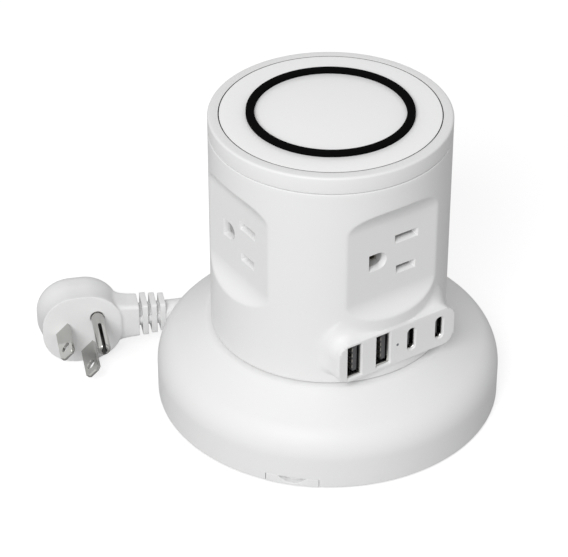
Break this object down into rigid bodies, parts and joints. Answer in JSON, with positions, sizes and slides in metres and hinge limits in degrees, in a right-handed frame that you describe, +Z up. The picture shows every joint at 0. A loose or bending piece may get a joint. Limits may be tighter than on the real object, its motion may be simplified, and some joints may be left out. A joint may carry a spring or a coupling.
{
  "type": "desktop power strip tower",
  "caption": "Round desk power tower that turns on a wide domed cord-storing base, with recessed mains outlets, an upright USB panel and a charging pad on top.",
  "frame": {"origin": "centre of the base's underside, on the surface that it stands on", "axes": "+Z up along the turning axis; the USB panel faces -Y at rest"},
  "size_m": [0.1467, 0.1414, 0.1177],
  "materials": {
    "white_plastic": "satin",
    "pad_plastic": "smooth",
    "black_rubber": "matte",
    "white_cord": "satin",
    "inner_plastic": "matte",
    "dark_plastic": "matte",
    "steel": "plated",
    "contact_brass": "stamped",
    "board_green": "coated",
    "copper_wire": "enamelled",
    "ferrite": "matte",
    "core_yellow": "taped",
    "disc_blue": "coated",
    "lens_clear": "clear"
  },
  "bodies": {
    "base": {"base_shell": "white_plastic", "base_plate": "white_plastic", "rubber_feet": "black_rubber", "base_screws": "steel", "glide_ring": "inner_plastic", "cord_guide": "inner_plastic", "exit_grommet": "white_plastic", "power_cord": "white_cord", "strain_relief": "white_cord", "plug_body": "white_plastic", "neutral_blade": "steel", "line_blade": "steel", "ground_pin": "steel"},
    "tower": {"tower_housing": "white_plastic", "tower_floor": "inner_plastic", "tower_screws": "steel", "top_cap": "white_plastic", "charging_pad": "pad_plastic", "grip_ring": "black_rubber", "charging_coil": "copper_wire", "ferrite_disc": "ferrite", "charger_board": "board_green", "neutral_bus": "contact_brass", "line_bus": "contact_brass", "ground_bus": "contact_brass", "outlet_insert_front": "inner_plastic", "outlet_insert_right": "inner_plastic", "outlet_insert_back": "inner_plastic", "outlet_insert_left": "inner_plastic", "usb_board": "board_green", "usb_a_shells": "steel", "usb_a_tongues": "dark_plastic", "usb_c_shells": "steel", "usb_c_tongues": "dark_plastic", "indicator_lens": "lens_clear", "power_board": "board_green", "transformer": "core_yellow", "capacitors": "dark_plastic", "surge_discs": "disc_blue", "board_screws": "steel", "cord_drum": "inner_plastic", "drum_screws": "steel", "cord_winding": "white_cord"},
    "tab": {"pull_tab": "white_plastic"}
  },
  "joints": [
    {"name": "tower_turn", "type": "hinge", "parent": "base", "child": "tower", "pos_m": [0, 0, 0.03125], "axis": [0, 0, 1], "continuous": true},
    {"name": "tab_slide", "type": "slide", "parent": "base", "child": "tab", "axis": [-0.7145, -0.6997, 0], "range_m": [0, 0.02]}
  ]
}
